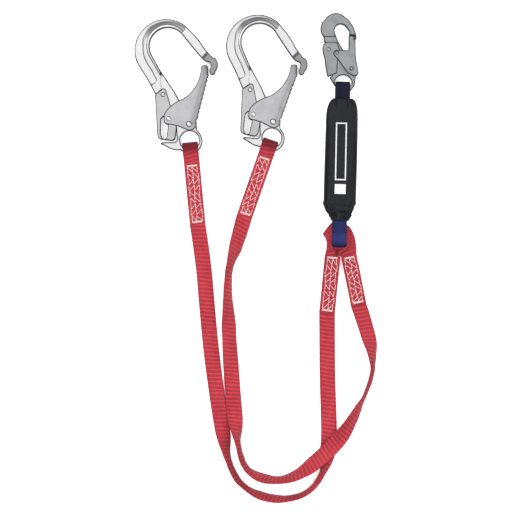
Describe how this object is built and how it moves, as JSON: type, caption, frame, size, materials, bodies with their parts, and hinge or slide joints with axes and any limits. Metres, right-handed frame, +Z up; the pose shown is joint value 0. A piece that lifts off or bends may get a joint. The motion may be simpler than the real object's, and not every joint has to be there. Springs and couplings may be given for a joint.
{
  "type": "shock absorbing lanyard",
  "caption": "Twin-leg shock absorbing lanyard: fabric energy absorber pack with a locking snap hook, two flat webbing legs with sewn eyes, and large gated scaffold hooks on their ends.",
  "frame": {"origin": "bottom centre of the box round the hooks, pack and sewn eyes, on the surface that the lanyard lies on", "axes": "+Y from the webbing legs' bottom bend towards the hooks' crowns, +X from the scaffold hooks towards the pack, +Z up off the surface"},
  "size_m": [0.3976, 0.7969, 0.0267],
  "materials": {
    "forged_aluminium": "polished forging",
    "pressed_gate": "satin pressed sheet",
    "pressed_lever": "satin pressed sheet",
    "rivet_steel": "bright zinc",
    "spring_steel": "drawn wire",
    "zinc_steel": "dull zinc-nickel plating",
    "red_webbing": "woven polyester",
    "navy_webbing": "woven polyester",
    "core_webbing": "woven polyester",
    "black_cover": "coated sleeve",
    "black_label": "plain satin label",
    "white_thread": "sewing thread"
  },
  "bodies": {
    "absorber": {"shock_pack_cover": "black_cover", "tear_webbing_core": "core_webbing", "rip_stitching": "white_thread", "backup_strap": "core_webbing", "upper_navy_loop": "navy_webbing", "lower_navy_loop": "navy_webbing", "pack_label_panel": "black_label", "leg_1_hook_eye": "red_webbing", "leg_1_hook_stitching": "white_thread", "leg_1_pack_eye": "red_webbing", "leg_1_pack_stitching": "white_thread", "leg_1_webbing": "red_webbing", "leg_2_hook_eye": "red_webbing", "leg_2_hook_stitching": "white_thread", "leg_2_pack_eye": "red_webbing", "leg_2_pack_stitching": "white_thread", "leg_2_webbing": "red_webbing"},
    "hook_1": {"rebar_hook_1_body": "forged_aluminium", "rebar_hook_1_gate_rivet": "rivet_steel", "rebar_hook_1_lever_rivet": "rivet_steel", "rebar_hook_1_gate_spring": "spring_steel", "rebar_hook_1_lever_spring": "spring_steel"},
    "gate_1": {"rebar_hook_1_gate": "pressed_gate", "rebar_hook_1_catch_pin": "rivet_steel"},
    "lever_1": {"rebar_hook_1_lock_lever": "pressed_lever"},
    "hook_2": {"rebar_hook_2_body": "forged_aluminium", "rebar_hook_2_gate_rivet": "rivet_steel", "rebar_hook_2_lever_rivet": "rivet_steel", "rebar_hook_2_gate_spring": "spring_steel", "rebar_hook_2_lever_spring": "spring_steel"},
    "gate_2": {"rebar_hook_2_gate": "pressed_gate", "rebar_hook_2_catch_pin": "rivet_steel"},
    "lever_2": {"rebar_hook_2_lock_lever": "pressed_lever"},
    "snap_hook": {"snap_hook_body": "zinc_steel", "snap_hook_gate_rivet": "zinc_steel", "snap_hook_lever_rivet": "zinc_steel", "snap_hook_gate_spring": "spring_steel", "snap_hook_lever_spring": "spring_steel"},
    "snap_gate": {"snap_hook_gate": "zinc_steel", "snap_hook_catch_studs": "zinc_steel"},
    "snap_lever": {"snap_hook_lock_lever": "zinc_steel"}
  },
  "joints": [
    {"name": "hook_1_swing", "type": "hinge", "parent": "absorber", "child": "hook_1", "pos_m": [-0.0981, 0.0195, 0.012], "axis": [0.9956, 0.0941, 0], "range_deg": [0, 80], "deforming": ["leg_1_hook_eye"]},
    {"name": "gate_1_hinge", "type": "hinge", "parent": "hook_1", "child": "gate_1", "pos_m": [-0.10059, 0.06327, 0.012], "axis": [0, 0, 1], "range_deg": [0, 34], "stiffness_Nm_per_rad": 0.15, "springref_deg": -34.38, "deforming": ["rebar_hook_1_gate_spring"]},
    {"name": "lever_1_hinge", "type": "hinge", "parent": "hook_1", "child": "lever_1", "pos_m": [-0.14259, 0.11099, 0.012], "axis": [0, 0, 1], "range_deg": [0, 8], "stiffness_Nm_per_rad": 0.3, "springref_deg": -17.19, "deforming": ["rebar_hook_1_lever_spring"]},
    {"name": "hook_2_swing", "type": "hinge", "parent": "absorber", "child": "hook_2", "pos_m": [0.027, 0.0244, 0.012], "axis": [0.9438, -0.3305, 0], "range_deg": [0, 80], "deforming": ["leg_2_hook_eye"]},
    {"name": "gate_2_hinge", "type": "hinge", "parent": "hook_2", "child": "gate_2", "pos_m": [0.03474, 0.06722, 0.012], "axis": [0, 0, 1], "range_deg": [0, 34], "stiffness_Nm_per_rad": 0.15, "springref_deg": -34.38, "deforming": ["rebar_hook_2_gate_spring"]},
    {"name": "lever_2_hinge", "type": "hinge", "parent": "hook_2", "child": "lever_2", "pos_m": [-0.00223, 0.11894, 0.012], "axis": [0, 0, 1], "range_deg": [0, 8], "stiffness_Nm_per_rad": 0.3, "springref_deg": -17.19, "deforming": ["rebar_hook_2_lever_spring"]},
    {"name": "snap_hook_swing", "type": "hinge", "parent": "absorber", "child": "snap_hook", "pos_m": [0.14663, 0.12237, 0.01], "axis": [0.9998, -0.0209, 0], "range_deg": [0, 80], "deforming": ["upper_navy_loop"]},
    {"name": "snap_gate_hinge", "type": "hinge", "parent": "snap_hook", "child": "snap_gate", "pos_m": [0.1613, 0.1532, 0.01], "axis": [0, 0, 1], "range_deg": [0, 20], "stiffness_Nm_per_rad": 0.1, "springref_deg": -34.38, "deforming": ["snap_hook_gate_spring"]},
    {"name": "snap_lever_hinge", "type": "hinge", "parent": "snap_hook", "child": "snap_lever", "pos_m": [0.1245, 0.1843, 0.01], "axis": [0, 0, 1], "range_deg": [0, 6], "stiffness_Nm_per_rad": 0.2, "springref_deg": -17.19, "deforming": ["snap_hook_lever_spring"]}
  ],
  "couplings": [
    {"joint": "lever_1_hinge", "follows": "gate_1_hinge", "ratio": 0.23519},
    {"joint": "lever_2_hinge", "follows": "gate_2_hinge", "ratio": 0.23519},
    {"joint": "snap_lever_hinge", "follows": "snap_gate_hinge", "ratio": 0.2999}
  ]
}
